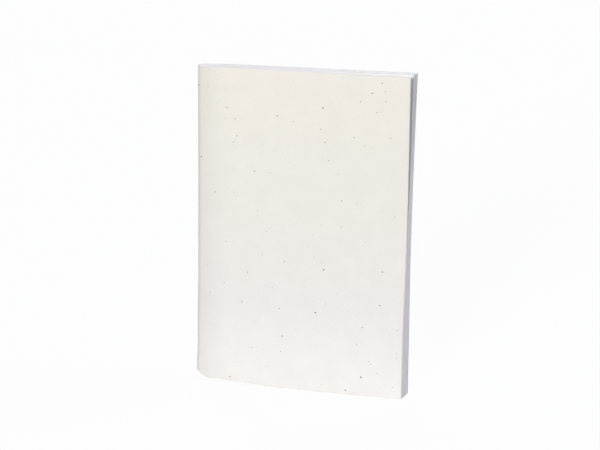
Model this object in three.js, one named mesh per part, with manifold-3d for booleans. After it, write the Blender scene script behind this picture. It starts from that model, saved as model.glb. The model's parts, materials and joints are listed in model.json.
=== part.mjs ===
// A seed paper notebook: five folded sections of leaves, sewn through their folds and glued
// into one wrap-around cover of seed paper. It is closed and stands on its bottom edge.
// Millimetres, +Z up, the spine at -X, the front cover facing -Y.
// While it is being made, x is 0 at the outermost line of the spine and y is 0 midway through
// the spine. At the end the whole book is moved over the middle of its footprint.

import * as THREE from 'three';
import { mergeVertices } from 'three/addons/utils/BufferGeometryUtils.js';
import Module from 'manifold-3d';

const wasm = await Module();
wasm.setup();

// The format, over the covers
const bookHeight = 210;
const bookWidth = 140;
const spineThickness = 12;
const spineDepth = 5;

// The papers, the glue and the thread
const coverPaper = 0.7;
const leafPaper = 0.1;
const glueFilm = 0.3;
const threadDiameter = 0.5;

// The clearances
const coverSeat = 0.12;
const leafGap = 0.12;
const glueSeat = 0.1;
const foldSeat = 0.2;
const threadPlay = 0.15;
const spineJointGap = 0.1;

// The block: sections of folded sheets, the middle one open at its innermost sheets
const sectionCount = 5;
const centreLeavesEachSide = 2;
const centreLeafStart = 0.3;
const coverLeafStart = 0.3;

// The sewing stations, where the thread passes out of the fold and back in
const stationCount = 4;
const stationInset = 25;
const stationSpan = 10;
const threadTail = 6;
const threadBite = 0.15;
const threadBend = 0.3;

// The set of the covers: how soft paper bows, waves and springs open at the fore edge
const foreEdgeSkew = 1;
const coverBow = 0.8;
const frontWave = 1;
const frontWaveLength = 168;
const frontWaveCrest = 126;
const frontSlot = 7;
const frontSlotFoot = 110;
const backPinch = 1.6;
const backPinchHeight = 95;
const backTopFlare = 6.6;
const backFootFlare = 2.6;
const backSlot = 0.5;
const backSlotFoot = 120;

// The worn foot of the spine
const spineFootRadius = 8;
const foldFootRadius = 4;

// How sharply the set grows towards the fore edge and towards the head and foot
const setGrowth = 1.3;
const flareGrowth = 1.6;

// How finely the curves are cut
const heightSteps = 10;
const widthSteps = 7;
const spineSteps = 8;
const foldSteps = 6;
const channelSteps = 6;
const threadSides = 6;
const footArcSteps = 6;
const closestPlaces = 0.2;
const glueReach = THREE.MathUtils.degToRad(50);

const seedPaper = new THREE.MeshStandardMaterial({ color: 0xeceae1, roughness: 0.95, metalness: 0 });
const writingPaper = new THREE.MeshStandardMaterial({ color: 0xf1eff4, roughness: 0.9, metalness: 0 });
const bindingGlue = new THREE.MeshStandardMaterial({ color: 0xe6e0cd, roughness: 0.5, metalness: 0 });
const linenThread = new THREE.MeshStandardMaterial({ color: 0xf3efe2, roughness: 0.8, metalness: 0 });

const hingeX = spineDepth;
const halfSpine = spineThickness / 2;
const blockThickness = spineThickness - 2 * (coverPaper + coverSeat);
const leafPitch = leafPaper + leafGap;
const sectionPitch = (blockThickness - 2 * leafPitch) / sectionCount;
const foldRadius = (sectionPitch - leafGap) / 2;
const halfGap = leafGap / 2;
const threadRadius = threadDiameter / 2;
const centreSection = (sectionCount - 1) / 2;

// Points along a line, both ends included
function divide(from, to, steps) {
  return Array.from({ length: steps + 1 }, (_, i) => THREE.MathUtils.lerp(from, to, i / steps));
}

const heights = divide(0, bookHeight, heightSteps);

// The fore edge is trimmed a little out of square: share is 0 at the front cover, 1 at the back
function foreEdge(share) {
  return bookWidth - foreEdgeSkew * (1 - share);
}

// Places across a cover or a leaf, from a start near the spine to its fore edge
function placesAcross(start, share) {
  const end = foreEdge(share);
  const open = divide(hingeX, end, widthSteps).filter((x) => x > start + closestPlaces);
  return [start, ...open];
}

function acrossCover(x) {
  return THREE.MathUtils.clamp((x - hingeX) / (bookWidth - hingeX), 0, 1);
}

function setAt(x) {
  return Math.pow(acrossCover(x), setGrowth);
}

function bowAt(x) {
  const across = acrossCover(x);
  return coverBow * 4 * across * (1 - across);
}

// The outer face of the front cover: bowed, and waved along its fore edge
function frontFace(x, z) {
  const wave = frontWave * Math.cos((2 * Math.PI * (z - frontWaveCrest)) / frontWaveLength);
  return -halfSpine - bowAt(x) + wave * setAt(x);
}

// The outer face of the back cover: pinched at its waist, flared at its head and foot
function backFace(x, z) {
  const above = z > backPinchHeight;
  const room = above ? bookHeight - backPinchHeight : backPinchHeight;
  const flare = above ? backTopFlare : backFootFlare;
  const reach = Math.abs(z - backPinchHeight) / room;
  return halfSpine + bowAt(x) + (flare * Math.pow(reach, flareGrowth) - backPinch) * setAt(x);
}

// The gaps that open between covers and leaves towards the head of the fore edge
function slotAt(x, z, slot, foot) {
  return slot * THREE.MathUtils.smoothstep(z, foot, bookHeight) * setAt(x);
}

// A place in the block: depth is measured through the leaves at the spine, from the front one
function blockFace(depth, x, z) {
  const first = frontFace(x, z) + coverPaper + coverSeat + slotAt(x, z, frontSlot, frontSlotFoot);
  const last = backFace(x, z) - coverPaper - coverSeat - slotAt(x, z, backSlot, backSlotFoot);
  return THREE.MathUtils.lerp(first, last, depth / blockThickness);
}

// The triangles of an end cap, for an outline of any shape
function anyCap(ring) {
  return THREE.ShapeUtils.triangulateShape(ring.map((point) => new THREE.Vector2(point.x, point.y)), []);
}

// The triangles of an end cap between the two faces of a thin sheet, rung by rung
function sheetCap(ring) {
  const last = ring.length - 1;
  const rungs = ring.length / 2 - 1;
  return Array.from({ length: rungs }, (_, i) => [
    [i, i + 1, last - i - 1],
    [i, last - i - 1, last - i],
  ]).flat();
}

// A closed body through rings of points. Each ring runs anticlockwise seen from above.
function loft(rings, capOf) {
  const count = rings[0].length;
  const indices = [];
  for (let level = 0; level < rings.length - 1; level += 1) {
    for (let i = 0; i < count; i += 1) {
      const next = (i + 1) % count;
      const low = level * count;
      const high = low + count;
      indices.push(low + i, low + next, high + next);
      indices.push(low + i, high + next, high + i);
    }
  }
  const top = (rings.length - 1) * count;
  for (const [a, b, c] of capOf(rings[0])) indices.push(c, b, a);
  for (const [a, b, c] of capOf(rings.at(-1))) indices.push(top + a, top + b, top + c);
  const geometry = new THREE.BufferGeometry().setFromPoints(rings.flat());
  geometry.setIndex(indices);
  return geometry;
}

// An upright body: outlineAt gives its outline at a height as [x, y] pairs
function upright(outlineAt, levels = heights, capOf = sheetCap) {
  return loft(levels.map((z) => outlineAt(z).map(([x, y]) => new THREE.Vector3(x, y, z))), capOf);
}

// A sheet between two faces, given as functions of x and z
function sheet(places, nearFace, farFace) {
  return upright((z) => [
    ...places.map((x) => [x, nearFace(x, z)]),
    ...places.toReversed().map((x) => [x, farFace(x, z)]),
  ]);
}

// A curved strip of the spine between two angles: -90 degrees is the front hinge line and 90 the back
function spineStrip(from, to, outerInset, thickness) {
  const angles = divide(from, to, spineSteps);
  const pointAt = (angle, inset) => [
    spineDepth - (spineDepth - inset) * Math.cos(angle),
    (halfSpine - inset) * Math.sin(angle),
  ];
  const outline = [
    ...angles.map((angle) => pointAt(angle, outerInset + thickness)),
    ...angles.toReversed().map((angle) => pointAt(angle, outerInset)),
  ];
  return upright(() => outline, [0, bookHeight]);
}

function pointOnCircle(x, y, radius, angle) {
  return [x + radius * Math.cos(angle), y + radius * Math.sin(angle)];
}

function toSolid(geometry) {
  const bare = geometry.clone();
  bare.deleteAttribute('normal');
  bare.deleteAttribute('uv');
  const merged = mergeVertices(bare, 1e-4);
  return new wasm.Manifold(new wasm.Mesh({
    numProp: 3,
    vertProperties: new Float32Array(merged.attributes.position.array),
    triVerts: new Uint32Array(merged.index.array),
  }));
}

function toGeometry(solid) {
  const mesh = solid.getMesh();
  const geometry = new THREE.BufferGeometry();
  geometry.setAttribute('position', new THREE.BufferAttribute(mesh.vertProperties, 3));
  geometry.setIndex(new THREE.BufferAttribute(mesh.triVerts, 1));
  return geometry;
}

function cut(geometry, cutters) {
  return toGeometry(cutters.reduce((solid, cutter) => solid.subtract(toSolid(cutter)), toSolid(geometry)));
}

// What is worn off the foot of the spine: the corner outside a quarter circle
function footCutter(cornerX, radius) {
  const margin = spineDepth;
  const corner = new THREE.Shape();
  corner.moveTo(cornerX - margin, -margin);
  corner.lineTo(cornerX + radius, -margin);
  corner.lineTo(cornerX + radius, 0);
  corner.absarc(cornerX + radius, radius, radius, -Math.PI / 2, -Math.PI, true);
  corner.lineTo(cornerX - margin, radius);
  const depth = spineThickness + 2 * margin;
  const geometry = new THREE.ExtrudeGeometry(corner, { depth, bevelEnabled: false, curveSegments: footArcSteps });
  geometry.rotateX(Math.PI / 2);
  geometry.translate(0, depth / 2, 0);
  return geometry;
}

const coverFoot = footCutter(0, spineFootRadius);

// Where a section's fold lies: the folds follow the round of the spine
function foldCentreX(y) {
  const reachX = spineDepth - coverPaper - glueSeat - glueFilm - foldSeat - foldRadius;
  const reachY = halfSpine - coverPaper - coverSeat - foldRadius;
  return spineDepth - reachX * Math.sqrt(1 - (y / reachY) ** 2);
}

function depthOfSection(index) {
  return leafPitch + index * sectionPitch;
}

function middleOfSection(index) {
  return depthOfSection(index) + sectionPitch / 2;
}

function foldOf(index) {
  const y = middleOfSection(index) - blockThickness / 2;
  const x = foldCentreX(y);
  const back = x - foldRadius;
  return {
    x,
    y,
    back,
    threadInside: x + threadPlay + threadRadius,
    threadOutside: back + threadBite,
  };
}

const stations = divide(stationInset, bookHeight - stationInset, stationCount - 1);

// Room for the thread: a hole through the fold at each end of a station, a groove between them
function threadCutters(fold) {
  const radius = threadRadius + threadPlay;
  const cutters = [];
  for (const station of stations) {
    const ends = [station - stationSpan / 2, station + stationSpan / 2];
    const groove = new THREE.CylinderGeometry(radius, radius, stationSpan + 2 * radius, threadSides);
    groove.rotateX(Math.PI / 2);
    groove.translate(fold.threadOutside, fold.y, station);
    cutters.push(groove);
    for (const end of ends) {
      const length = fold.threadInside - fold.threadOutside;
      const hole = new THREE.CylinderGeometry(radius, radius, length, threadSides);
      hole.rotateZ(Math.PI / 2);
      hole.translate(fold.threadOutside + length / 2, fold.y, end);
      cutters.push(hole);
    }
  }
  return cutters;
}

// The thread of a section: along the inside of the fold, out and in again at each station
function threadGeometry(fold) {
  const corners = [[fold.threadInside, stations[0] - stationSpan / 2 - threadTail]];
  for (const station of stations) {
    corners.push([fold.threadInside, station - stationSpan / 2]);
    corners.push([fold.threadOutside, station - stationSpan / 2]);
    corners.push([fold.threadOutside, station + stationSpan / 2]);
    corners.push([fold.threadInside, station + stationSpan / 2]);
  }
  corners.push([fold.threadInside, stations.at(-1) + stationSpan / 2 + threadTail]);
  const points = corners.map(([x, z]) => new THREE.Vector2(x, z));
  const path = [points[0]];
  for (let i = 1; i < points.length - 1; i += 1) {
    for (const neighbour of [points[i - 1], points[i + 1]]) {
      const towards = neighbour.clone().sub(points[i]).setLength(threadBend);
      path.push(points[i].clone().add(towards));
    }
  }
  path.push(points.at(-1));
  const rings = path.map((point, i) => {
    const before = path[Math.max(i - 1, 0)];
    const after = path[Math.min(i + 1, path.length - 1)];
    const along = after.clone().sub(before).normalize();
    return Array.from({ length: threadSides }, (_, side) => {
      const angle = (2 * Math.PI * side) / threadSides;
      const sideways = threadRadius * Math.cos(angle);
      const x = point.x + sideways * along.y;
      const z = point.y - sideways * along.x;
      return new THREE.Vector3(x, fold.y + threadRadius * Math.sin(angle), z);
    });
  });
  return loft(rings, anyCap);
}

// A folded section: two packs of leaves joined by a round fold, with the thread's channel inside it
function sectionGeometry(index) {
  const fold = foldOf(index);
  const near = depthOfSection(index);
  const middle = middleOfSection(index);
  const far = near + sectionPitch;
  const share = middle / blockThickness;
  const channel = threadRadius + threadPlay;
  const lipAngle = Math.asin(halfGap / channel);
  const outside = placesAcross(fold.x, share);
  const inside = placesAcross(fold.threadInside + channel * Math.cos(lipAngle), share);
  const channelArc = divide(-lipAngle, lipAngle - 2 * Math.PI, channelSteps).slice(1, -1);
  const foldArc = divide(Math.PI / 2, (3 * Math.PI) / 2, foldSteps).slice(1, -1);
  const solid = upright((z) => [
    ...outside.map((x) => [x, blockFace(near, x, z) + halfGap]),
    ...inside.toReversed().map((x) => [x, blockFace(middle, x, z) - halfGap]),
    ...channelArc.map((angle) => pointOnCircle(fold.threadInside, fold.y, channel, angle)),
    ...inside.map((x) => [x, blockFace(middle, x, z) + halfGap]),
    ...outside.toReversed().map((x) => [x, blockFace(far, x, z) - halfGap]),
    ...foldArc.map((angle) => pointOnCircle(fold.x, fold.y, foldRadius, angle)),
  ], heights, anyCap);
  return cut(solid, [...threadCutters(fold), footCutter(fold.back, foldFootRadius)]);
}

// Half of the middle section, which the book opens at: side is -1 for the front half, 1 for the back
function centreHalfGeometry(side) {
  const fold = foldOf(centreSection);
  const middle = middleOfSection(centreSection);
  const outer = middle + (side * sectionPitch) / 2;
  const inner = middle + side * centreLeavesEachSide * leafPitch;
  const places = placesAcross(fold.x, middle / blockThickness);
  const jointY = fold.y + (side * spineJointGap) / 2;
  const foldArc = divide(Math.PI, Math.PI + (side * -Math.PI) / 2, foldSteps / 2).slice(1, -1);
  const solid = upright((z) => {
    const outline = [
      ...places.map((x) => [x, blockFace(outer, x, z) - side * halfGap]),
      ...places.toReversed().map((x) => [x, blockFace(inner, x, z) + side * halfGap]),
      [fold.x, jointY],
      [fold.back, jointY],
      ...foldArc.map((angle) => pointOnCircle(fold.x, fold.y, foldRadius, angle)),
    ];
    return side < 0 ? outline : outline.toReversed();
  }, heights, anyCap);
  return cut(solid, [...threadCutters(fold), footCutter(fold.back, foldFootRadius)]);
}

// One loose leaf in front of the given depth of the block, free from its start to the fore edge
function leafGeometry(depth, start) {
  const nearFace = (x, z) => blockFace(depth, x, z) + halfGap;
  const farFace = (x, z) => nearFace(x, z) + leafPaper;
  return sheet(placesAcross(start, depth / blockThickness), nearFace, farFace);
}

const notebook = new THREE.Group();

function add(name, geometry, material) {
  const mesh = new THREE.Mesh(geometry, material);
  mesh.name = name;
  notebook.add(mesh);
}

// The wrap-around cover: two panels and the spine between them, in two halves that fold together
const coverStart = hingeX + spineJointGap;
const jointAngle = spineJointGap / 2 / halfSpine;
const frontPanel = sheet(
  placesAcross(coverStart, 0),
  frontFace,
  (x, z) => frontFace(x, z) + coverPaper,
);
const backPanel = sheet(
  placesAcross(coverStart, 1),
  (x, z) => backFace(x, z) - coverPaper,
  backFace,
);
add('front_cover', cut(frontPanel, [coverFoot]), seedPaper);
add('back_cover', cut(backPanel, [coverFoot]), seedPaper);
const frontSpine = spineStrip(-Math.PI / 2, -jointAngle, 0, coverPaper);
const backSpine = spineStrip(jointAngle, Math.PI / 2, 0, coverPaper);
add('spine_cover_front', cut(frontSpine, [coverFoot]), seedPaper);
add('spine_cover_back', cut(backSpine, [coverFoot]), seedPaper);

// The film of glue between the folds and the cover
const glueInset = coverPaper + glueSeat;
const frontGlue = spineStrip(-glueReach, -jointAngle, glueInset, glueFilm);
const backGlue = spineStrip(jointAngle, glueReach, glueInset, glueFilm);
add('spine_glue_front', cut(frontGlue, [coverFoot]), bindingGlue);
add('spine_glue_back', cut(backGlue, [coverFoot]), bindingGlue);

// The sections, each with its own length of thread
for (let index = 0; index < sectionCount; index += 1) {
  const number = index + 1;
  if (index === centreSection) {
    add(`section_${number}_front`, centreHalfGeometry(-1), writingPaper);
    add(`section_${number}_back`, centreHalfGeometry(1), writingPaper);
  } else {
    add(`section_${number}`, sectionGeometry(index), writingPaper);
  }
  add(`thread_${number}`, threadGeometry(foldOf(index)), linenThread);
}

// The outermost leaves, which lift with the covers
const coverLeafX = hingeX + coverLeafStart;
add('first_leaf', leafGeometry(0, coverLeafX), writingPaper);
add('last_leaf', leafGeometry(blockThickness - leafPitch, coverLeafX), writingPaper);

// The innermost leaves, which fan out where the book opens
const centreFold = foldOf(centreSection);
const centreLeafX = centreFold.threadInside + threadRadius + centreLeafStart;
for (let i = 0; i < 2 * centreLeavesEachSide; i += 1) {
  const depth = blockThickness / 2 + (i - centreLeavesEachSide) * leafPitch;
  add(`centre_leaf_${i + 1}`, leafGeometry(depth, centreLeafX), writingPaper);
}

const footprint = new THREE.Box3().setFromObject(notebook);
const middle = footprint.getCenter(new THREE.Vector3());
notebook.position.set(-middle.x, -middle.y, -footprint.min.z);

export default notebook;
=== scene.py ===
import json
import math
import bmesh
import bpy
import numpy as np
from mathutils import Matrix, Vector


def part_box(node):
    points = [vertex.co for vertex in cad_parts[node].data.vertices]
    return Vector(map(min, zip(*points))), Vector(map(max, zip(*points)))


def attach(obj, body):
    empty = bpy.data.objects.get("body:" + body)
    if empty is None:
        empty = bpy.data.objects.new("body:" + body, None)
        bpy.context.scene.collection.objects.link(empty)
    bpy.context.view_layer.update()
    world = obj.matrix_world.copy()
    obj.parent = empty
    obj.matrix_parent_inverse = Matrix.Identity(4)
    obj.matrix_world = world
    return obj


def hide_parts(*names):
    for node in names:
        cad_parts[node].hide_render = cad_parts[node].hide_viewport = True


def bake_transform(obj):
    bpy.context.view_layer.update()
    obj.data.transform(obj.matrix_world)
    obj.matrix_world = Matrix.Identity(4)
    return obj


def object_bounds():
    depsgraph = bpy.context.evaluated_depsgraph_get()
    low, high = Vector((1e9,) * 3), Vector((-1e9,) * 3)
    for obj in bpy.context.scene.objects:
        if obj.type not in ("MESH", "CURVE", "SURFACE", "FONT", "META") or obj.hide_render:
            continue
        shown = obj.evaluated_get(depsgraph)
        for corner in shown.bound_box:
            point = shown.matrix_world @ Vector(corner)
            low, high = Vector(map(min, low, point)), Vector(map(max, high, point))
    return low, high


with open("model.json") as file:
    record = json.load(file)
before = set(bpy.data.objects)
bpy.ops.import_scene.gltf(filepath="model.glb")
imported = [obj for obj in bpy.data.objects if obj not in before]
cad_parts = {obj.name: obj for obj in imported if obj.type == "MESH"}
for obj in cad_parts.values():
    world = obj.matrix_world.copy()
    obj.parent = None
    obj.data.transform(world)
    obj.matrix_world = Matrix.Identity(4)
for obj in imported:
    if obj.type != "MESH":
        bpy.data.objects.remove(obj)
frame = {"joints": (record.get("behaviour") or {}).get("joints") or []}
cad_low, cad_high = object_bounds()

# The camera stands in front of the cover, above it and to the side of the fore edge, with a
# long lens. Its place was fitted to the outline of the notebook in the photograph.
camera_place = (0.26473, -1.04295, 0.38498)
camera_turn_deg = (75.612, -0.707, 14.540)
camera_lens_mm = 103.655
camera_sensor_mm = 36
camera_turn = [math.radians(angle) for angle in camera_turn_deg]
bpy.ops.object.camera_add(location=camera_place, rotation=camera_turn)
camera = bpy.context.object
camera.name = "camera"
camera.data.lens = camera_lens_mm
camera.data.sensor_width = camera_sensor_mm
bpy.context.scene.camera = camera

# The folded sections: five of eight sheets of uncoated writing paper, nested, folded in half,
# sewn and trimmed flush on three sides. Their leaves take the set of the covers, which pinch the
# fore edge at its waist and spring open at its head. Sizes are in metres.
joint_at = {joint["name"]: joint["pos_m"] for joint in frame["joints"]}
spine_x, middle_y = joint_at["middle_opening"][:2]
hinge_x = joint_at["front_cover_hinge"][0]
half_spine = middle_y - joint_at["front_cover_hinge"][1]
spine_depth = hinge_x - spine_x
fore_edge_x = cad_high.x
book_height = cad_high.z

cover_paper = 0.0007
cover_seat = 0.00012
fore_edge_skew = 0.00095
cover_bow = 0.0008
front_wave = 0.001
front_wave_length = 0.168
front_wave_crest = 0.126
front_slot = 0.0075
front_slot_foot = 0.090
back_pinch = 0.0016
back_pinch_height = 0.095
back_top_flare = 0.0066
back_foot_flare = 0.0026
back_slot = 0.0005
back_slot_foot = 0.120
back_gap = 0.0007
parting_at = 0.70
parting_half = 0.006
parting_width = 0.12
front_trim = (-0.0005, 0.00005)
back_trim = (0.00035, 0.00008)
trim_reach = 0.030
trim_heights = (0.035, 0.095)
set_growth = 1.3
flare_growth = 1.6
block_thickness = 2 * (half_spine - cover_paper - cover_seat)

section_count = 5
sheets_per_section = 8
leaf_paper = 0.000082
leaf_filling = 0.93
fullest_leaf = 0.00015
end_leaf_room = 0.00022
section_gap = 0.00012
fold_spread = 0.003
fold_foot_radius = 0.010
leaf_foot_lift = 0.0025
foot_lift_reach = (0.014, 0.062)
foot_room = 0.016
head_dip = 0.0004
head_dip_reach = (0.003, 0.014)
head_room = 0.012
trim_scatter = 0.00004
section_pitch = (block_thickness - 2 * end_leaf_room) / section_count
fold_radius = (section_pitch - section_gap) / 2
leaf_pitch = fold_radius / sheets_per_section
leaf_rows = 43
leaf_steps = 24
fold_spread_steps = 5
fold_steps = 11
row_heights = np.linspace(0, book_height, leaf_rows)
fold_angles = np.linspace(-math.pi / 2, math.pi / 2, fold_steps)
chance_start = 21
chance = np.random.default_rng(chance_start)


def ease(value, start, end):
    share = np.clip((value - start) / (end - start), 0, 1)
    return share * share * (3 - 2 * share)


def set_at(x):
    return np.clip((x - hinge_x) / (fore_edge_x - hinge_x), 0, 1) ** set_growth


def bow_at(x):
    across = np.clip((x - hinge_x) / (fore_edge_x - hinge_x), 0, 1)
    return cover_bow * 4 * across * (1 - across)


def front_face(x, z):
    wave = front_wave * np.cos(2 * math.pi * (z - front_wave_crest) / front_wave_length)
    return middle_y - half_spine - bow_at(x) + wave * set_at(x)


def back_face(x, z):
    above = z > back_pinch_height
    room = np.where(above, book_height - back_pinch_height, back_pinch_height)
    flare = np.where(above, back_top_flare, back_foot_flare)
    flare = flare * (np.abs(z - back_pinch_height) / room) ** flare_growth
    return middle_y + half_spine + bow_at(x) + (flare - back_pinch) * set_at(x)


def block_faces(x, z):
    inset = cover_paper + cover_seat
    first = front_face(x, z) + inset + front_slot * ease(z, front_slot_foot, book_height) * set_at(x)
    last_slot = back_gap + back_slot * ease(z, back_slot_foot, book_height)
    return first, back_face(x, z) - inset - last_slot * set_at(x)


def leaf_thickness(x, z, fold_x):
    first, last = block_faces(x, z)
    full = leaf_filling * leaf_pitch * (last - first) / block_thickness
    spread = ease(x, fold_x, fold_x + fold_spread)
    return leaf_paper + (np.maximum(full, leaf_paper) - leaf_paper) * spread


def block_face(depth, x, z):
    first, last = block_faces(x, z)
    share = depth / block_thickness
    parted = ease(share, parting_at - parting_half, parting_at + parting_half)
    open_by = parting_width * ease(z, back_slot_foot, book_height) * set_at(x)
    return first + (last - first) * (share + open_by * (parted - share))


def fore_edge(depth):
    return fore_edge_x - fore_edge_skew * (1 - depth / block_thickness)


def edge_trim(x, z, share):
    low = front_trim[0] + (back_trim[0] - front_trim[0]) * share
    high = front_trim[1] + (back_trim[1] - front_trim[1]) * share
    return (low + (high - low) * ease(z, *trim_heights)) * ease(x, trim_reach, fore_edge_x)


def dipped_head(x, z):
    dip = head_dip * (1 - ease(x - spine_x, *head_dip_reach))
    return z - dip * ease(z, book_height - head_room, book_height)


def worn_foot(x, z, corner_x, radius):
    inside = np.clip(corner_x + radius - x, 0, radius)
    lift = radius - np.sqrt(radius**2 - inside**2)
    lift = lift + leaf_foot_lift * (1 - ease(x - spine_x, *foot_lift_reach))
    return dipped_head(x, np.where(z < foot_room, lift + z * (foot_room - lift) / foot_room, z))


def paper(name, points, thickness, offset=0.0, faces_and_edges=(), fold_x=None):
    rows, columns = points.shape[:2]
    bpy.ops.object.select_all(action="DESELECT")
    bpy.ops.mesh.primitive_grid_add(x_subdivisions=columns - 1, y_subdivisions=rows - 1, size=2)
    sheet = bpy.context.object
    sheet.name = name
    flat = np.array([vertex.co for vertex in sheet.data.vertices])
    column = np.rint((flat[:, 0] + 1) / 2 * (columns - 1)).astype(int)
    row = np.rint((flat[:, 1] + 1) / 2 * (rows - 1)).astype(int)
    sheet.data.vertices.foreach_set("co", points[row, column].astype(np.float32).ravel())
    sheet.data.update()
    for material in faces_and_edges:
        sheet.data.materials.append(material)
    solidify = sheet.modifiers.new("thickness", "SOLIDIFY")
    solidify.thickness = thickness
    solidify.offset = offset
    if fold_x is not None:
        places = points[row, column]
        shares = leaf_thickness(places[:, 0], places[:, 2], fold_x) / fullest_leaf
        fullness = sheet.vertex_groups.new(name="fullness")
        for vertex, share in enumerate(shares.tolist()):
            fullness.add([vertex], share, "REPLACE")
        solidify.thickness = fullest_leaf
        solidify.vertex_group = fullness.name
    solidify.material_offset_rim = len(faces_and_edges) - 1 if faces_and_edges else 0
    bpy.ops.object.modifier_apply(modifier=solidify.name)
    sheet.vertex_groups.clear()
    return sheet


def join(name, pieces):
    bpy.ops.object.select_all(action="DESELECT")
    for piece in pieces:
        piece.select_set(True)
    bpy.context.view_layer.objects.active = pieces[0]
    if len(pieces) > 1:
        bpy.ops.object.join()
    pieces[0].name = name
    return pieces[0]


def finish_paper(piece, material=None, smooth_deg=40):
    places = np.array([vertex.co for vertex in piece.data.vertices], np.float32)
    if "flat" not in piece.data.attributes:
        attribute = piece.data.attributes.new("flat", "FLOAT_VECTOR", "POINT")
        attribute.data.foreach_set("vector", places.ravel())
    bpy.ops.object.select_all(action="DESELECT")
    piece.select_set(True)
    bpy.context.view_layer.objects.active = piece
    bpy.ops.object.shade_smooth_by_angle(angle=math.radians(smooth_deg))
    if material:
        piece.data.materials.append(material)
    return piece


def section_place(index, node):
    depth = end_leaf_room + (index + 0.5) * section_pitch
    fold_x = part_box(node)[0].x + fold_radius
    fold_y = middle_y - block_thickness / 2 + depth
    return depth, fold_x, fold_y


def leaf_places(start, depth, scatter):
    spread_end = start + fold_spread
    near = np.linspace(start, spread_end, fold_spread_steps, endpoint=False)
    far = np.linspace(spread_end, fore_edge(depth) - scatter, leaf_steps)
    return np.concatenate([near, far])


def leaf_reach(x, rank, fold_x):
    tight = fold_radius - (rank + 0.5) * leaf_paper
    loose = fold_radius - (rank + 0.5) * leaf_pitch
    return tight + (loose - tight) * ease(x, fold_x, fold_x + fold_spread)


def leaf_points(depth, side, rank, fold_x, scatter):
    x = leaf_places(fold_x, depth, scatter)
    columns, heights = np.meshgrid(x, row_heights)
    faces = block_face(depth + side * leaf_reach(x, rank, fold_x), columns, heights)
    columns = columns + edge_trim(columns, heights, depth / block_thickness)
    return np.stack([columns, faces, heights], axis=2)


def fold_points(fold_x, fold_y, rank, angles):
    radius = fold_radius - (rank + 0.5) * leaf_paper
    turn, heights = np.meshgrid(angles, row_heights)
    return np.stack([fold_x - radius * np.cos(turn), fold_y + radius * np.sin(turn), heights], axis=2)


def trimmed(points, corner_x, scatter):
    points[..., 2] *= 1 - scatter / book_height
    points[..., 2] = worn_foot(points[..., 0], points[..., 2], corner_x, fold_foot_radius)
    return points


def folded_sheet(index, node, rank):
    depth, fold_x, fold_y = section_place(index, node)
    scatter = chance.uniform(0, trim_scatter, 3)
    front = leaf_points(depth, -1, rank, fold_x, scatter[0])[:, :0:-1]
    fold = fold_points(fold_x, fold_y, rank, fold_angles)
    back = leaf_points(depth, 1, rank, fold_x, scatter[1])[:, 1:]
    points = np.concatenate([front, fold, back], axis=1)
    points = trimmed(points, fold_x - fold_radius, scatter[2])
    return paper("sheet", points, leaf_paper, faces_and_edges=leaf_materials, fold_x=fold_x)


def half_sheet(index, node, rank, side):
    depth, fold_x, fold_y = section_place(index, node)
    scatter = chance.uniform(0, trim_scatter, 2)
    half_fold = fold_angles[: len(fold_angles) // 2 + 1] * -side
    leaf = leaf_points(depth, side, rank, fold_x, scatter[0])[:, :0:-1]
    fold = fold_points(fold_x, fold_y, rank, half_fold)
    points = np.concatenate([leaf, fold], axis=1)
    points = trimmed(points, fold_x - fold_radius, scatter[1])
    return paper("sheet", points, leaf_paper, faces_and_edges=leaf_materials, fold_x=fold_x)


def socket(group, name, kind, where, value=None):
    made = group.interface.new_socket(name=name, in_out=where, socket_type=kind)
    if value is not None:
        made.default_value = value
    return made


def link(tree, output, target):
    tree.links.new(output, target)


def node(tree, kind, x, y, **settings):
    made = tree.nodes.new(kind)
    made.location = (x, y)
    for name, value in settings.items():
        setattr(made, name, value)
    return made


def math_node(tree, operation, a, b, x, y, clamp=False):
    made = node(tree, "ShaderNodeMath", x, y, operation=operation, use_clamp=clamp)
    for socket_in, value in zip(made.inputs, (a, b)):
        if isinstance(value, (int, float)):
            socket_in.default_value = value
        elif value is not None:
            link(tree, value, socket_in)
    return made.outputs[0]


def noise(tree, place, scale, detail, x, y, distortion=0.0):
    made = node(tree, "ShaderNodeTexNoise", x, y)
    made.inputs["Scale"].default_value = scale
    made.inputs["Detail"].default_value = detail
    made.inputs["Distortion"].default_value = distortion
    link(tree, place, made.inputs["Vector"])
    return made.outputs["Fac"]


# The fibres of every paper here: thin curved hairs of pulp, the cloudy look that they have when
# they are pressed into a sheet, and the felt that both leave on its surface.
hair_scale = 260
hair_detail = 1.5
hair_bend = 0.6
hair_width = 0.012
hair_layers = ((0, 0.0), (63, 0.37))
hair_lean = (0.2, 0.4)
hair_patch_scale = 420
hair_patch_floor = 0.56
hair_patch_gain = 12.0
cloud_scale = 70
cloud_detail = 3.0
cloud_gain = 3.0
cloud_floor = -1.0
felt_scale = 2600
felt_detail = 4.0
felt_strength = 0.5
fibres = bpy.data.node_groups.new("paper_fibres", "ShaderNodeTree")
socket(fibres, "Place", "NodeSocketVector", "INPUT")
socket(fibres, "Fineness", "NodeSocketFloat", "INPUT", 1.0)
socket(fibres, "Hairs", "NodeSocketFloat", "OUTPUT")
socket(fibres, "Cloud", "NodeSocketFloat", "OUTPUT")
socket(fibres, "Felt", "NodeSocketFloat", "OUTPUT")
given = node(fibres, "NodeGroupInput", -1200, 0)
given_out = node(fibres, "NodeGroupOutput", 900, 0)
scaled = node(fibres, "ShaderNodeVectorMath", -1000, 0, operation="SCALE")
link(fibres, given.outputs["Place"], scaled.inputs[0])
link(fibres, given.outputs["Fineness"], scaled.inputs["Scale"])
place = scaled.outputs[0]
hairs = None
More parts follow.
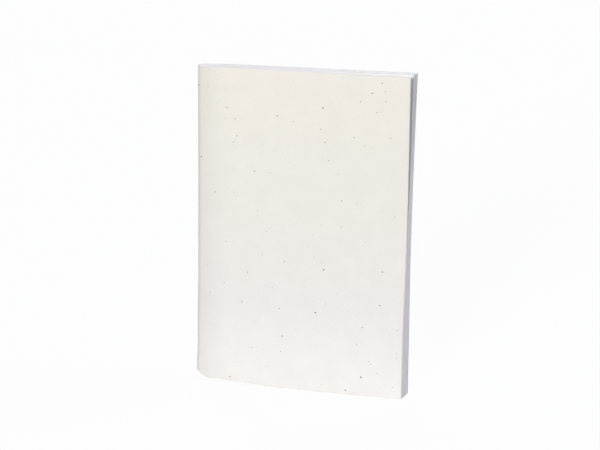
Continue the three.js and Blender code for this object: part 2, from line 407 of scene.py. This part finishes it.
for turn_deg, shift in hair_layers:
    top = 300 - 6 * turn_deg
    mapping = node(fibres, "ShaderNodeMapping", -800, top)
    mapping.inputs["Rotation"].default_value = (hair_lean[0], math.radians(turn_deg), hair_lean[1])
    mapping.inputs["Location"].default_value = (shift, shift, shift)
    link(fibres, place, mapping.inputs["Vector"])
    line = noise(fibres, mapping.outputs[0], hair_scale, hair_detail, -600, top, hair_bend)
    aside = math_node(fibres, "SUBTRACT", line, 0.5, -400, top)
    away = math_node(fibres, "ABSOLUTE", aside, None, -250, top)
    width = math_node(fibres, "DIVIDE", away, hair_width, -100, top)
    thin = math_node(fibres, "SUBTRACT", 1.0, width, 50, top, True)
    patch = noise(fibres, mapping.outputs[0], hair_patch_scale, 0.0, -600, top - 400)
    above = math_node(fibres, "SUBTRACT", patch, hair_patch_floor, -400, top - 400)
    keep = math_node(fibres, "MULTIPLY", above, hair_patch_gain, -250, top - 400, True)
    layer = math_node(fibres, "MULTIPLY", thin, keep, 200, top - 200)
    hairs = layer if hairs is None else math_node(fibres, "MAXIMUM", hairs, layer, 350, 100)
cloud = noise(fibres, place, cloud_scale, cloud_detail, 350, -200)
felt = noise(fibres, place, felt_scale, felt_detail, 350, -400)
link(fibres, hairs, given_out.inputs["Hairs"])
link(fibres, cloud, given_out.inputs["Cloud"])
link(fibres, felt, given_out.inputs["Felt"])


def paper_material(name, colour, shade, hair_colour, hair_strength, fineness, roughness, relief):
    material = bpy.data.materials.new(name)
    material.use_nodes = True
    tree = material.node_tree
    surface = tree.nodes["Principled BSDF"]
    surface.inputs["Roughness"].default_value = roughness
    attribute = node(tree, "ShaderNodeAttribute", -1300, 0, attribute_name="flat")
    group = node(tree, "ShaderNodeGroup", -1100, 0, node_tree=fibres)
    group.inputs["Fineness"].default_value = fineness
    link(tree, attribute.outputs["Vector"], group.inputs["Place"])
    ramp = node(tree, "ShaderNodeMix", -700, 200, data_type="RGBA")
    ramp.inputs["A"].default_value = (*shade, 1)
    ramp.inputs["B"].default_value = (*colour, 1)
    clouded = math_node(tree, "MULTIPLY_ADD", group.outputs["Cloud"], cloud_gain, -900, 200, True)
    clouded.node.inputs[2].default_value = cloud_floor
    link(tree, clouded, ramp.inputs["Factor"])
    haired = node(tree, "ShaderNodeMix", -500, 200, data_type="RGBA")
    haired.inputs["B"].default_value = (*hair_colour, 1)
    hair_share = math_node(tree, "MULTIPLY", group.outputs["Hairs"], hair_strength, -700, 0)
    link(tree, hair_share, haired.inputs["Factor"])
    link(tree, ramp.outputs["Result"], haired.inputs["A"])
    height = math_node(tree, "ADD", group.outputs["Felt"], group.outputs["Hairs"], -700, -200)
    bump = node(tree, "ShaderNodeBump", -300, -200)
    bump.inputs["Strength"].default_value = felt_strength
    bump.inputs["Distance"].default_value = relief
    link(tree, height, bump.inputs["Height"])
    link(tree, bump.outputs[0], surface.inputs["Normal"])
    link(tree, haired.outputs["Result"], surface.inputs["Base Color"])
    return material


leaf_white = (0.88, 0.875, 0.90)
leaf_shade = (0.86, 0.855, 0.885)
leaf_hair = (0.80, 0.79, 0.80)
leaf_relief = 0.00002
writing_paper = paper_material(
    "writing_paper", leaf_white, leaf_shade, leaf_hair,
    hair_strength=0.25, fineness=1.6, roughness=0.85, relief=leaf_relief,
)
edge_white = (0.89, 0.875, 0.925)
edge_shade = (0.85, 0.835, 0.89)
trimmed_edge = paper_material(
    "trimmed_edge", edge_white, edge_shade, leaf_hair,
    hair_strength=0.2, fineness=3.0, roughness=0.9, relief=leaf_relief,
)
leaf_materials = (writing_paper, trimmed_edge)

# The outer and the fanned sections, of the same paper. Glue and thread hold their folds to the
# spine, and the outer two go with their halves of the block.
gutter_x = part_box("centre_leaf_1")[0].x
section_blocks = {
    "section_1": "front_block",
    "section_2": "front_block",
    "section_4": "back_block",
    "section_5": "back_block",
}
fanned_sections = ("section_2", "section_4")


def curve_out(piece):
    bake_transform(piece)


for name, block in section_blocks.items():
    index = int(name[-1]) - 1
    sheets = [folded_sheet(index, name, rank) for rank in range(sheets_per_section)]
    leaves = finish_paper(join(name + "_leaves", sheets))
    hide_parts(name)
    if name in fanned_sections:
        curve_out(leaves)
    else:
        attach(leaves, block)

# The middle section, of the same paper. The book falls open in it, so six of its folded sheets
# are drawn in two halves that meet at the fold. Its two innermost sheets are drawn leaf by leaf.
centre_index = section_count // 2
split_sheets = 6
for name, block, side in (
    ("section_3_front", "front_block", -1),
    ("section_3_back", "back_block", 1),
):
    sheets = [half_sheet(centre_index, name, rank, side) for rank in range(split_sheets)]
    leaves = finish_paper(join(name + "_leaves", sheets))
    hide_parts(name)
    curve_out(leaves)

# The innermost leaves, two on each side, of the same paper and held by the thread at the fold.
second_rank, innermost_rank = range(split_sheets, sheets_per_section)
depth, fold_x, fold_y = section_place(centre_index, "section_3_front")
for number, side, rank in (
    (1, -1, second_rank),
    (2, -1, innermost_rank),
    (3, 1, innermost_rank),
    (4, 1, second_rank),
):
    name = f"centre_leaf_{number}"
    block = "front_block" if side < 0 else "back_block"
    scatter = chance.uniform(0, trim_scatter, 2)
    grid = leaf_points(depth, side, rank, fold_x, scatter[0])
    edge = grid[:, :1].copy()
    edge[..., 0] = gutter_x
    edge[..., 1] = fold_y + side * leaf_reach(gutter_x, rank, fold_x)
    points = np.concatenate([edge, grid[:, grid[0, :, 0] > gutter_x]], axis=1)
    points = trimmed(points, fold_x - fold_radius, scatter[1])
    leaf = paper(name + "_paper", points, leaf_paper, faces_and_edges=leaf_materials)
    leaf = finish_paper(leaf)
    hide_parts(name)
    curve_out(leaf)

# The fold of the two innermost sheets, of the same paper. The thread holds it in the gutter.
gutter_steps = 25
gutter_lead_steps = 5
gutter_angles = np.linspace(-math.pi / 2, math.pi / 2, gutter_steps)
gutters = []
for rank in (second_rank, innermost_rank):
    lead = np.linspace(gutter_x, fold_x, gutter_lead_steps)[:-1]
    reach = leaf_reach(lead, rank, fold_x)
    columns, heights = np.meshgrid(lead, row_heights)
    front, back = [
        np.stack([columns, np.broadcast_to(fold_y + side * reach, columns.shape), heights], axis=2)
        for side in (-1, 1)
    ]
    fold = fold_points(fold_x, fold_y, rank, gutter_angles)
    points = np.concatenate([front, fold, back[:, ::-1]], axis=1)
    points = trimmed(points, fold_x - fold_radius, 0)
    gutters.append(paper("gutter", points, leaf_paper, faces_and_edges=leaf_materials))
gutter = finish_paper(join("centre_fold", gutters))
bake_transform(gutter)

# The end leaves: single leaves of the same paper, tipped onto the first and the last section by
# a narrow line of glue.
tipped_width = 0.0012
for name, body, depth_in, side in (
    ("first_leaf", "front_block", end_leaf_room / 2, -1),
    ("last_leaf", "back_block", block_thickness - end_leaf_room / 2, 1),
):
    hinge = joint_at[name + "_turn"]
    scatter = chance.uniform(0, trim_scatter, 2)
    x = np.concatenate([[hinge[0] - tipped_width], leaf_places(hinge[0], depth_in, scatter[0])])
    columns, heights = np.meshgrid(x, row_heights)
    faces = block_face(depth_in, columns, heights)
    columns = columns + edge_trim(columns, heights, depth_in / block_thickness)
    points = np.stack([columns, faces, heights], axis=2)
    points = trimmed(points, hinge[0] - tipped_width, scatter[1])
    leaf = paper(name + "_paper", points, leaf_paper, faces_and_edges=leaf_materials)
    leaf = finish_paper(leaf)
    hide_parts(name)
    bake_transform(leaf)

# The sewing: three-ply linen thread, along the inside of each fold and out and in again at four
# stations. The middle one lies in the gutter.
thread_radius = 0.00025
thread_play = 0.00015
thread_bite = 0.00015
station_count = 4
station_inset = 0.025
station_span = 0.010
thread_tail = 0.006
thread_step = 0.00025
thread_smoothings = 3
thread_stations = np.linspace(station_inset, book_height - station_inset, station_count)
ply_count = 3
ply_radius = 0.00013
ply_offset = 0.00012
ply_turn = 0.0021
thread_colour = (0.86, 0.83, 0.74)
thread_shade = (0.70, 0.65, 0.54)
thread_sheen = 0.3
mottle_detail = 3.0


def mottled_material(name, colour, shade, scale, distortion, roughness, relief):
    material = bpy.data.materials.new(name)
    material.use_nodes = True
    tree = material.node_tree
    surface = tree.nodes["Principled BSDF"]
    surface.inputs["Roughness"].default_value = roughness
    attribute = node(tree, "ShaderNodeAttribute", -900, 0, attribute_name="flat")
    mottle = noise(tree, attribute.outputs["Vector"], scale, mottle_detail, -700, 0, distortion)
    mix = node(tree, "ShaderNodeMix", -400, 100, data_type="RGBA")
    mix.inputs["A"].default_value = (*shade, 1)
    mix.inputs["B"].default_value = (*colour, 1)
    link(tree, mottle, mix.inputs["Factor"])
    link(tree, mix.outputs["Result"], surface.inputs["Base Color"])
    bump = node(tree, "ShaderNodeBump", -300, -200)
    bump.inputs["Distance"].default_value = relief
    link(tree, mottle, bump.inputs["Height"])
    link(tree, bump.outputs[0], surface.inputs["Normal"])
    return material


linen = mottled_material(
    "linen_thread", thread_colour, thread_shade,
    scale=9000, distortion=0.5, roughness=0.7, relief=0.00003,
)
surface = linen.node_tree.nodes["Principled BSDF"]
surface.inputs["Sheen Weight"].default_value = thread_sheen


def thread_route(fold_x):
    inside = fold_x + thread_play + thread_radius
    outside = fold_x - fold_radius + thread_bite
    corners = [(inside, thread_stations[0] - station_span / 2 - thread_tail)]
    for station in thread_stations:
        low, high = station - station_span / 2, station + station_span / 2
        corners += [(inside, low), (outside, low), (outside, high), (inside, high)]
    corners.append((inside, thread_stations[-1] + station_span / 2 + thread_tail))
    corners = np.array(corners)
    lengths = np.concatenate([[0], np.cumsum(np.linalg.norm(np.diff(corners, axis=0), axis=1))])
    along = np.arange(0, lengths[-1], thread_step)
    route = np.stack([np.interp(along, lengths, places) for places in corners.T], axis=1)
    for _ in range(thread_smoothings):
        route[1:-1] = (route[:-2] + 2 * route[1:-1] + route[2:]) / 4
    return along, route


def ply(along, route, y, start):
    tangent = np.gradient(route, axis=0)
    tangent /= np.linalg.norm(tangent, axis=1)[:, None]
    angle = 2 * math.pi * along / ply_turn + start
    side = ply_offset * np.cos(angle)
    x = route[:, 0] + side * tangent[:, 1]
    z = route[:, 1] - side * tangent[:, 0]
    curve = bpy.data.curves.new("ply", "CURVE")
    curve.dimensions = "3D"
    curve.bevel_depth = ply_radius
    curve.bevel_resolution = 1
    curve.use_fill_caps = True
    spline = curve.splines.new("POLY")
    spline.points.add(len(along) - 1)
    places = np.stack([x, y + ply_offset * np.sin(angle), z, np.ones(len(along))], axis=1)
    spline.points.foreach_set("co", places.astype(np.float32).ravel())
    made = bpy.data.objects.new("ply", curve)
    bpy.context.collection.objects.link(made)
    bpy.ops.object.select_all(action="DESELECT")
    made.select_set(True)
    bpy.context.view_layer.objects.active = made
    bpy.ops.object.convert(target="MESH")
    return made


thread_blocks = ("front_block", "front_block", None, "back_block", "back_block")
for index, block in enumerate(thread_blocks):
    name = f"thread_{index + 1}"
    section = "section_3_back" if index == centre_index else f"section_{index + 1}"
    _, thread_fold_x, thread_y = section_place(index, section)
    along, route = thread_route(thread_fold_x)
    starts = [number * 2 * math.pi / ply_count for number in range(ply_count)]
    plies = [ply(along, route, thread_y, start) for start in starts]
    thread = finish_paper(join(name + "_twisted", plies), linen, smooth_deg=60)
    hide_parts(name)
    if section in fanned_sections:
        curve_out(thread)
    elif block:
        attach(thread, block)
    else:
        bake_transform(thread)

# The glue: a dried film of binding glue, brushed on between the folds and the spine and drawn
# into the valleys between the folds. Each half goes with its half of the spine.
glue_reach = math.radians(50)
glue_seat = 0.0001
glue_film = 0.0003
glue_steps = 60
glue_gap = 0.00005
glue_sink = 0.00025
spine_foot_radius = 0.010
glue_colour = (0.76, 0.70, 0.55)
glue_shade = (0.68, 0.60, 0.44)

binding_glue = mottled_material(
    "binding_glue", glue_colour, glue_shade,
    scale=500, distortion=0.0, roughness=0.35, relief=0.0002,
)


def spine_point(angle, inset):
    x = hinge_x - (spine_depth - inset) * np.cos(angle)
    return x, middle_y + (half_spine - inset) * np.sin(angle)


for name, body, side in (
    ("spine_glue_front", "front_block", -1),
    ("spine_glue_back", "back_block", 1),
):
    angles = np.linspace(glue_gap / half_spine, glue_reach, glue_steps) * side
    _, across = spine_point(angles, cover_paper + glue_seat)
    valley = 0.5 - 0.5 * np.cos(2 * math.pi * (across - middle_y) / section_pitch)
    x, y = spine_point(angles, cover_paper + glue_seat + glue_film / 2 + glue_sink * valley)
    columns, heights = np.meshgrid(x, row_heights)
    points = np.stack([columns, np.broadcast_to(y, columns.shape), heights], axis=2)
    points[..., 2] = worn_foot(columns, heights, spine_x, spine_foot_radius)
    film = finish_paper(paper(name + "_film", points, glue_film), binding_glue)
    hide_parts(name)
    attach(film, body)

# The cover: one sheet of thick handmade seed paper, trimmed, wrapped round the block and glued
# at the spine. It is modelled flat, with soft cut edges, and then wrapped. Its two halves meet
# at the outermost line of the spine.
cover_edge = 0.00012
cover_edge_segments = 2
cover_edge_deg = 45
spine_columns = 22
hinge_columns = 17
panel_columns = 48
foot_rows = 12
panel_rows = 56
spine_samples = 400
wrap_step = 0.00005
hinge_zone = 0.006
corner_lift = 0.0046
corner_reach = 0.012
corner_curve = (2.6, 1.4)
foot_lift = 0.0019
foot_lift_from = 0.018
foot_lift_to = 0.064
head_dip_share = 0.6
sway_at_fold = 0.4
sway_growth = 0.0022
sway_fade = (0.009, 0.020)
head_draw = 0.0002
head_draw_reach = (0.070, 0.150)
foot_flare = 0.00042
foot_flare_reach = (0.038, 0.075)
corner_flare = 0.00065
corner_flare_reach = (0.004, 0.024)
cover_white = (0.92, 0.90, 0.86)
cover_shade = (0.90, 0.88, 0.84)
cover_hair = (0.72, 0.68, 0.58)
# Painted light: the cover is painted lighter and cooler towards its foot, where the floor throws
# light back up, and warmer towards its head.
painted_height_tints = (
    (0.0, (1.018, 1.016, 1.028)),
    (0.09, (1.004, 1.002, 1.01)),
    (0.27, (0.941, 0.936, 0.945)),
    (0.60, (0.937, 0.93, 0.912)),
    (1.0, (0.962, 0.941, 0.903)),
)
# Painted shade: the cover is painted darker on the rolled spine, where it turns away from the light.
spine_painted_shade = (0.80, 0.815, 0.81)
spine_painted_shade_reach = 0.030
spine_painted_shade_curve = 2.0
fleck_scale = 240
fleck_radius = 0.09
fleck_softness = 3.0
fleck_share = 0.84
fleck_contrast = 6.0
fleck_strength = 0.2
fleck_colour = (0.50, 0.45, 0.36)
cover_relief = 0.00005
seed_paper = paper_material(
    "seed_paper", cover_white, cover_shade, cover_hair,
    hair_strength=0.22, fineness=1.0, roughness=0.9, relief=cover_relief,
)

# Its colour is painted lighter and cooler towards the foot, as the floor throws light back up
# on it, and warmer towards the head: painted light. The rolled spine is painted darker: painted
# shade where it turns away from the light. Seeds that lie deeper in the pulp show through as
# faint flecks.
tree = seed_paper.node_tree
surface = tree.nodes["Principled BSDF"]
plain = surface.inputs["Base Color"].links[0].from_socket
where = node(tree, "ShaderNodeAttribute", -1300, 700, attribute_name="flat")
axes = node(tree, "ShaderNodeSeparateXYZ", -1100, 700)
link(tree, where.outputs["Vector"], axes.inputs[0])
up = math_node(tree, "DIVIDE", axes.outputs["Z"], book_height, -900, 700, True)
# Mask of the painted shade on the spine: strongest at the fold, gone by the reach.
aside = math_node(tree, "ABSOLUTE", axes.outputs["X"], None, -900, 850)
from_fold = math_node(tree, "DIVIDE", aside, spine_painted_shade_reach, -750, 850)
painted_shade_near_fold = math_node(tree, "SUBTRACT", 1.0, from_fold, -600, 850, True)
painted_shade_near_fold = math_node(tree, "POWER", painted_shade_near_fold, spine_painted_shade_curve, -450, 850)
cells = node(tree, "ShaderNodeTexVoronoi", -1100, 1000)
cells.inputs["Scale"].default_value = fleck_scale
link(tree, where.outputs["Vector"], cells.inputs["Vector"])
chosen = node(tree, "ShaderNodeSeparateColor", -900, 1000)
link(tree, cells.outputs["Color"], chosen.inputs[0])
over = math_node(tree, "SUBTRACT", chosen.outputs["Red"], fleck_share, -750, 1000)
kept = math_node(tree, "MULTIPLY", over, fleck_contrast, -600, 1000, True)
close = math_node(tree, "SUBTRACT", fleck_radius, cells.outputs["Distance"], -750, 1150)
close = math_node(tree, "MULTIPLY", close, fleck_softness / fleck_radius, -600, 1150, True)
fleck = math_node(tree, "MULTIPLY", kept, close, -450, 1050)
fleck = math_node(tree, "MULTIPLY", fleck, fleck_strength, -300, 1050)
painted_height_ramp = node(tree, "ShaderNodeValToRGB", -450, 600)
painted_height_ramp.color_ramp.elements.remove(painted_height_ramp.color_ramp.elements[1])
for spot, (share, colour) in enumerate(painted_height_tints):
    stop = painted_height_ramp.color_ramp.elements.new(share) if spot else painted_height_ramp.color_ramp.elements[0]
    stop.position = share
    stop.color = (*colour, 1)
link(tree, up, painted_height_ramp.inputs["Fac"])
for factor, blend_type, colour, y in (
    (1.0, "MULTIPLY", painted_height_ramp.outputs["Color"], 700),
    (painted_shade_near_fold, "MULTIPLY", spine_painted_shade, 850),
    (fleck, "MIX", fleck_colour, 1050),
):
    tinted = node(tree, "ShaderNodeMix", -150, y, data_type="RGBA", blend_type=blend_type)
    if isinstance(colour, tuple):
        tinted.inputs["B"].default_value = (*colour, 1)
        link(tree, factor, tinted.inputs["Factor"])
    else:
        tinted.inputs["Factor"].default_value = factor
        link(tree, colour, tinted.inputs["B"])
    link(tree, plain, tinted.inputs["A"])
    plain = tinted.outputs["Result"]
link(tree, plain, surface.inputs["Base Color"])
# The cut edges are painted darker than the face of the sheet: partly the fibres of the cut, partly
# painted shade along the edges.
cut_white_and_shade = (0.74, 0.725, 0.695)
cut_mottle_and_shade = (0.68, 0.665, 0.63)
cut_edge = paper_material(
    "cut_edge", cut_white_and_shade, cut_mottle_and_shade, cover_hair,
    hair_strength=0.3, fineness=2.0, roughness=0.9, relief=cover_relief,
)

spine_angles = np.linspace(0, math.pi / 2, spine_samples)
spine_run = np.diff(spine_depth * np.cos(spine_angles))
spine_rise = np.diff(half_spine * np.sin(spine_angles))
spine_lengths = np.concatenate([[0], np.cumsum(np.hypot(spine_run, spine_rise))])
spine_length = spine_lengths[-1]


def cover_foot(s, z):
    inner, outer = corner_curve
    corner = corner_lift * np.clip(1 - (s / corner_reach) ** inner, 0, 1) ** outer
    lift = corner + foot_lift * (1 - ease(s, foot_lift_from, foot_lift_to))
    z = np.where(z < foot_room, lift + z * (foot_room - lift) / foot_room, z)
    return dipped_head(spine_x + head_dip_share * s, z)


def spine_sway(s, z):
    reach = sway_at_fold + (1 - sway_at_fold) * ease(s, 0, sway_growth)
    draw = head_draw * ease(z, *head_draw_reach)
    flare = foot_flare * (1 - ease(z, *foot_flare_reach))
    flare = flare + corner_flare * (1 - ease(z, *corner_flare_reach))
    return reach * (1 - ease(s, *sway_fade)) * (draw - flare)


def cover_line(s, z, side):
    angle = np.interp(s, spine_lengths, spine_angles)
    on_panel = s > spine_length
    x = np.where(on_panel, hinge_x + s - spine_length, hinge_x - spine_depth * np.cos(angle))
    panel_y = front_face(x, z) if side < 0 else back_face(x, z)
    y = np.where(on_panel, panel_y, middle_y + side * half_spine * np.sin(angle))
    return x + spine_sway(s, z) + edge_trim(x, z, (1 + side) / 2), y


def wrap(flat, side):
    s, n, z = flat.T
    x, y = cover_line(s, z, side)
    x_before, y_before = cover_line(np.maximum(s - wrap_step, 0), z, side)
    x_after, y_after = cover_line(s + wrap_step, z, side)
    along = np.stack([x_after - x_before, y_after - y_before], 1)
    along[s < wrap_step] = (0, side)
    along /= np.linalg.norm(along, axis=1)[:, None]
    x = x + n * along[:, 1] * side
    y = y - n * along[:, 0] * side
    return np.stack([x, y, cover_foot(s, z)], 1)


def wrap_piece(piece, side):
    flat = np.array([vertex.co for vertex in piece.data.vertices])
    attribute = piece.data.attributes.new("flat", "FLOAT_VECTOR", "POINT")
    attribute.data.foreach_set("vector", (flat * (side, 1, 1)).astype(np.float32).ravel())
    piece.data.vertices.foreach_set("co", wrap(flat, side).astype(np.float32).ravel())
    piece.data.update()
    if side < 0:
        piece.data.flip_normals()


def cover_half(name, length):
    spine_places = np.linspace(0, spine_length, spine_columns)
    hinge_places = np.linspace(spine_length, spine_length + hinge_zone, hinge_columns)[1:]
    panel_places = np.linspace(spine_length + hinge_zone, length, panel_columns)[1:]
    foot_places = np.linspace(0, foot_room, foot_rows)
    upper_places = np.linspace(foot_room, book_height, panel_rows)[1:]
    s = np.concatenate([spine_places, hinge_places, panel_places])
    z = np.concatenate([foot_places, upper_places])
    columns, heights = np.meshgrid(s, z)
    points = np.stack([columns, np.zeros_like(columns), heights], axis=2)
    half = paper(name, points, cover_paper, 1.0, (seed_paper, cut_edge))
    if min(vertex.co.y for vertex in half.data.vertices) < -cover_paper / 2:
        bpy.ops.object.mode_set(mode="EDIT")
        bpy.ops.mesh.select_all(action="SELECT")
        bpy.ops.transform.translate(value=(0, cover_paper, 0))
        bpy.ops.object.mode_set(mode="OBJECT")
    shell = bmesh.new()
    shell.from_mesh(half.data)
    softness = shell.edges.layers.float.new("bevel_weight_edge")
    for edge in shell.edges:
        at_fold = all(abs(vertex.co.x) < cover_edge for vertex in edge.verts)
        if edge.calc_face_angle(0) > math.radians(cover_edge_deg) and not at_fold:
            edge[softness] = 1
    shell.to_mesh(half.data)
    shell.free()
    bevel = half.modifiers.new("cut_edges", "BEVEL")
    bevel.width = cover_edge
    bevel.segments = cover_edge_segments
    bevel.limit_method = "WEIGHT"
    bpy.ops.object.modifier_apply(modifier=bevel.name)
    return half


# The seeds: small wildflower seeds, dark grey brown to tan, caught in the pulp of the cover when
# its sheet is made. Each is one small pointed grain, pressed in so that only its back stands out.
seed_longest = 0.0016
seed_shortest = 0.00034
seed_skew = 3.3
seed_width = (0.7, 1.0)
seed_height = (0.5, 0.7)
seed_proud = (0.2, 0.35)
seed_tip_from = 0.3
seed_taper = (1.15, 0.7, 0.7)
seed_margin = 0.0025
seed_evenness = 0.4
seed_apart = (0.1, 1.2)
outer_seeds = 200
inner_seeds = 220
seed_tone_skew = 2.5
seed_dark = (0.045, 0.038, 0.032)
seed_tan = (0.21, 0.165, 0.115)
husk_roughness = 0.6
husk_scale = 6000
husk_detail = 2.0
husk_grain = 0.25

bpy.ops.object.select_all(action="DESELECT")
bpy.ops.mesh.primitive_uv_sphere_add(
    segments=8, ring_count=6, radius=0.5, rotation=(0, math.pi / 2, 0)
)
bpy.ops.object.transform_apply(location=False, rotation=True, scale=False)
seed = bpy.context.object
seed.name = "seed"
for vertex in seed.data.vertices:
    vertex.select = vertex.co.x > seed_tip_from
for face in seed.data.polygons:
    face.select = False
bpy.context.tool_settings.mesh_select_mode = (True, False, False)
bpy.ops.object.mode_set(mode="EDIT")
bpy.ops.transform.resize(value=seed_taper, center_override=(0, 0, 0))
bpy.ops.object.mode_set(mode="OBJECT")

seed_husk = bpy.data.materials.new("seed_husk")
seed_husk.use_nodes = True
tree = seed_husk.node_tree
surface = tree.nodes["Principled BSDF"]
surface.inputs["Roughness"].default_value = husk_roughness
tone = node(tree, "ShaderNodeAttribute", -900, 100, attribute_name="tone")
grain_place = node(tree, "ShaderNodeAttribute", -900, -100, attribute_name="flat")
grain = noise(tree, grain_place.outputs["Vector"], husk_scale, husk_detail, -700, -100)
grain = math_node(tree, "MULTIPLY", grain, husk_grain, -550, -100)
shade = math_node(tree, "ADD", tone.outputs["Fac"], grain, -400, 0, True)
mix = node(tree, "ShaderNodeMix", -200, 100, data_type="RGBA")
mix.inputs["A"].default_value = (*seed_dark, 1)
mix.inputs["B"].default_value = (*seed_tan, 1)
link(tree, shade, mix.inputs["Factor"])
link(tree, mix.outputs["Result"], surface.inputs["Base Color"])


def seed_copy(s, z, inner):
    size = seed_shortest + (seed_longest - seed_shortest) * chance.uniform() ** seed_skew
    width = size * chance.uniform(*seed_width)
    height = width * chance.uniform(*seed_height)
    proud = height * chance.uniform(*seed_proud)
    depth = cover_paper - (height / 2 - proud) if inner else height / 2 - proud
    copy = bpy.data.objects.new("grain", seed.data.copy())
    bpy.context.collection.objects.link(copy)
    turn = chance.uniform(0, 2 * math.pi)
    points = np.array([vertex.co for vertex in copy.data.vertices]) * (size, height, width)
    x = points[:, 0] * math.cos(turn) - points[:, 2] * math.sin(turn)
    up = points[:, 0] * math.sin(turn) + points[:, 2] * math.cos(turn)
    placed = np.stack([x + s, points[:, 1] + depth, up + z], 1)
    copy.data.vertices.foreach_set("co", placed.astype(np.float32).ravel())
    attribute = copy.data.attributes.new("tone", "FLOAT", "POINT")
    tone = chance.uniform() ** seed_tone_skew
    attribute.data.foreach_set("value", np.full(len(points), tone, np.float32))
    return copy


def seed_places(count, start, end):
    places = []
    spacing = seed_evenness * math.sqrt((end - start) * book_height / count)
    while len(places) < count:
        s = chance.uniform(start, end)
        z = chance.uniform(seed_margin, book_height - seed_margin)
        if s < foot_lift_from and z < foot_room:
            continue
        gaps = [math.hypot(s - other[0], z - other[1]) for other in places]
        if all(gap > spacing * chance.uniform(*seed_apart) for gap in gaps):
            places.append((s, z))
    return places


for name, side, nodes, bodies in (
    ("front_cover_paper", -1, ("front_cover", "spine_cover_front"), ("front_block", "front_cover")),
    ("back_cover_paper", 1, ("back_cover", "spine_cover_back"), ("back_block", "back_cover")),
):
    length = spine_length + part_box(nodes[0])[1].x - hinge_x
    half = cover_half(name, length)
    wrap_piece(half, side)
    finish_paper(half)
    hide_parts(*nodes)
    outer_places = seed_places(outer_seeds, seed_margin, length - seed_margin)
    grains = [seed_copy(s, z, inner=False) for s, z in outer_places]
    inner_places = seed_places(inner_seeds, spine_length + seed_margin, length - seed_margin)
    grains += [seed_copy(s, z, inner=True) for s, z in inner_places]
    seeds = join(name.replace("paper", "seeds"), grains)
    wrap_piece(seeds, side)
    finish_paper(seeds, seed_husk, smooth_deg=60)
    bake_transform(half)
    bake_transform(seeds)
bpy.data.objects.remove(seed)

# The floor: a plain white table, matte all over. To the camera it is almost as bright as the
# room behind it, and it keeps a faint shadow of the notebook.
floor_size = 12
floor_white = (0.50, 0.505, 0.515)
floor_shadow_share = 0.1
floor_bright = 1.055
bpy.ops.object.select_all(action="DESELECT")
bpy.ops.mesh.primitive_plane_add(size=floor_size)
floor = bpy.context.object
floor.name = "floor"
floor_paint = bpy.data.materials.new("floor")
floor_paint.use_nodes = True
tree = floor_paint.node_tree
surface = tree.nodes["Principled BSDF"]
surface.inputs["Base Color"].default_value = (*floor_white, 1)
surface.inputs["Roughness"].default_value = 1.0
surface.inputs["Specular IOR Level"].default_value = 0.0
bright = node(tree, "ShaderNodeEmission", 0, -200)
bright.inputs["Strength"].default_value = floor_bright
seen = node(tree, "ShaderNodeLightPath", -200, 300)
share = math_node(tree, "MULTIPLY", seen.outputs["Is Camera Ray"], 1 - floor_shadow_share, 0, 200)
both = node(tree, "ShaderNodeMixShader", 300, 0)
link(tree, share, both.inputs["Fac"])
link(tree, surface.outputs[0], both.inputs[1])
link(tree, bright.outputs[0], both.inputs[2])
link(tree, both.outputs[0], tree.nodes["Material Output"].inputs["Surface"])
floor.data.materials.append(floor_paint)

# The light: a soft light in front and a little above, one beside the fore edge, one behind the
# spine, and a dim room all round, which the camera sees as plain white.
room_light = (0.96, 0.98, 1.03)
room_strength = 0.22
for name, place, strength, spread_deg, colour in (
    ("key", (-0.125, -0.90, 0.22), 0.745, 16, (1.0, 1.0, 0.984)),
    ("side", (0.85, 0.35, 0.25), 0.62, 40, (0.98, 0.975, 1.0)),
    ("back", (-0.4, 0.85, 0.28), 0.55, 40, (0.99, 0.99, 1.0)),
):
    bpy.ops.object.light_add(type="SUN", location=place)
    lamp = bpy.context.object
    lamp.name = name
    lamp.data.energy = strength * math.pi
    lamp.data.angle = math.radians(spread_deg)
    lamp.data.color = colour
    lamp.rotation_euler = (-lamp.location).to_track_quat("-Z", "Y").to_euler()

world = bpy.data.worlds.new("room")
bpy.context.scene.world = world
world.use_nodes = True
tree = world.node_tree
room = tree.nodes["Background"]
room.inputs["Color"].default_value = (*room_light, 1)
room.inputs["Strength"].default_value = room_strength
backdrop = node(tree, "ShaderNodeBackground", 0, -200)
seen = node(tree, "ShaderNodeLightPath", -200, 300)
both = node(tree, "ShaderNodeMixShader", 300, 0)
rays = seen.outputs
bright_share = math_node(tree, "MAXIMUM", rays["Is Camera Ray"], rays["Is Glossy Ray"], 0, 200)
link(tree, bright_share, both.inputs["Fac"])
link(tree, room.outputs[0], both.inputs[1])
link(tree, backdrop.outputs[0], both.inputs[2])
link(tree, both.outputs[0], tree.nodes["World Output"].inputs["Surface"])

bpy.context.scene.view_settings.view_transform = "Standard"
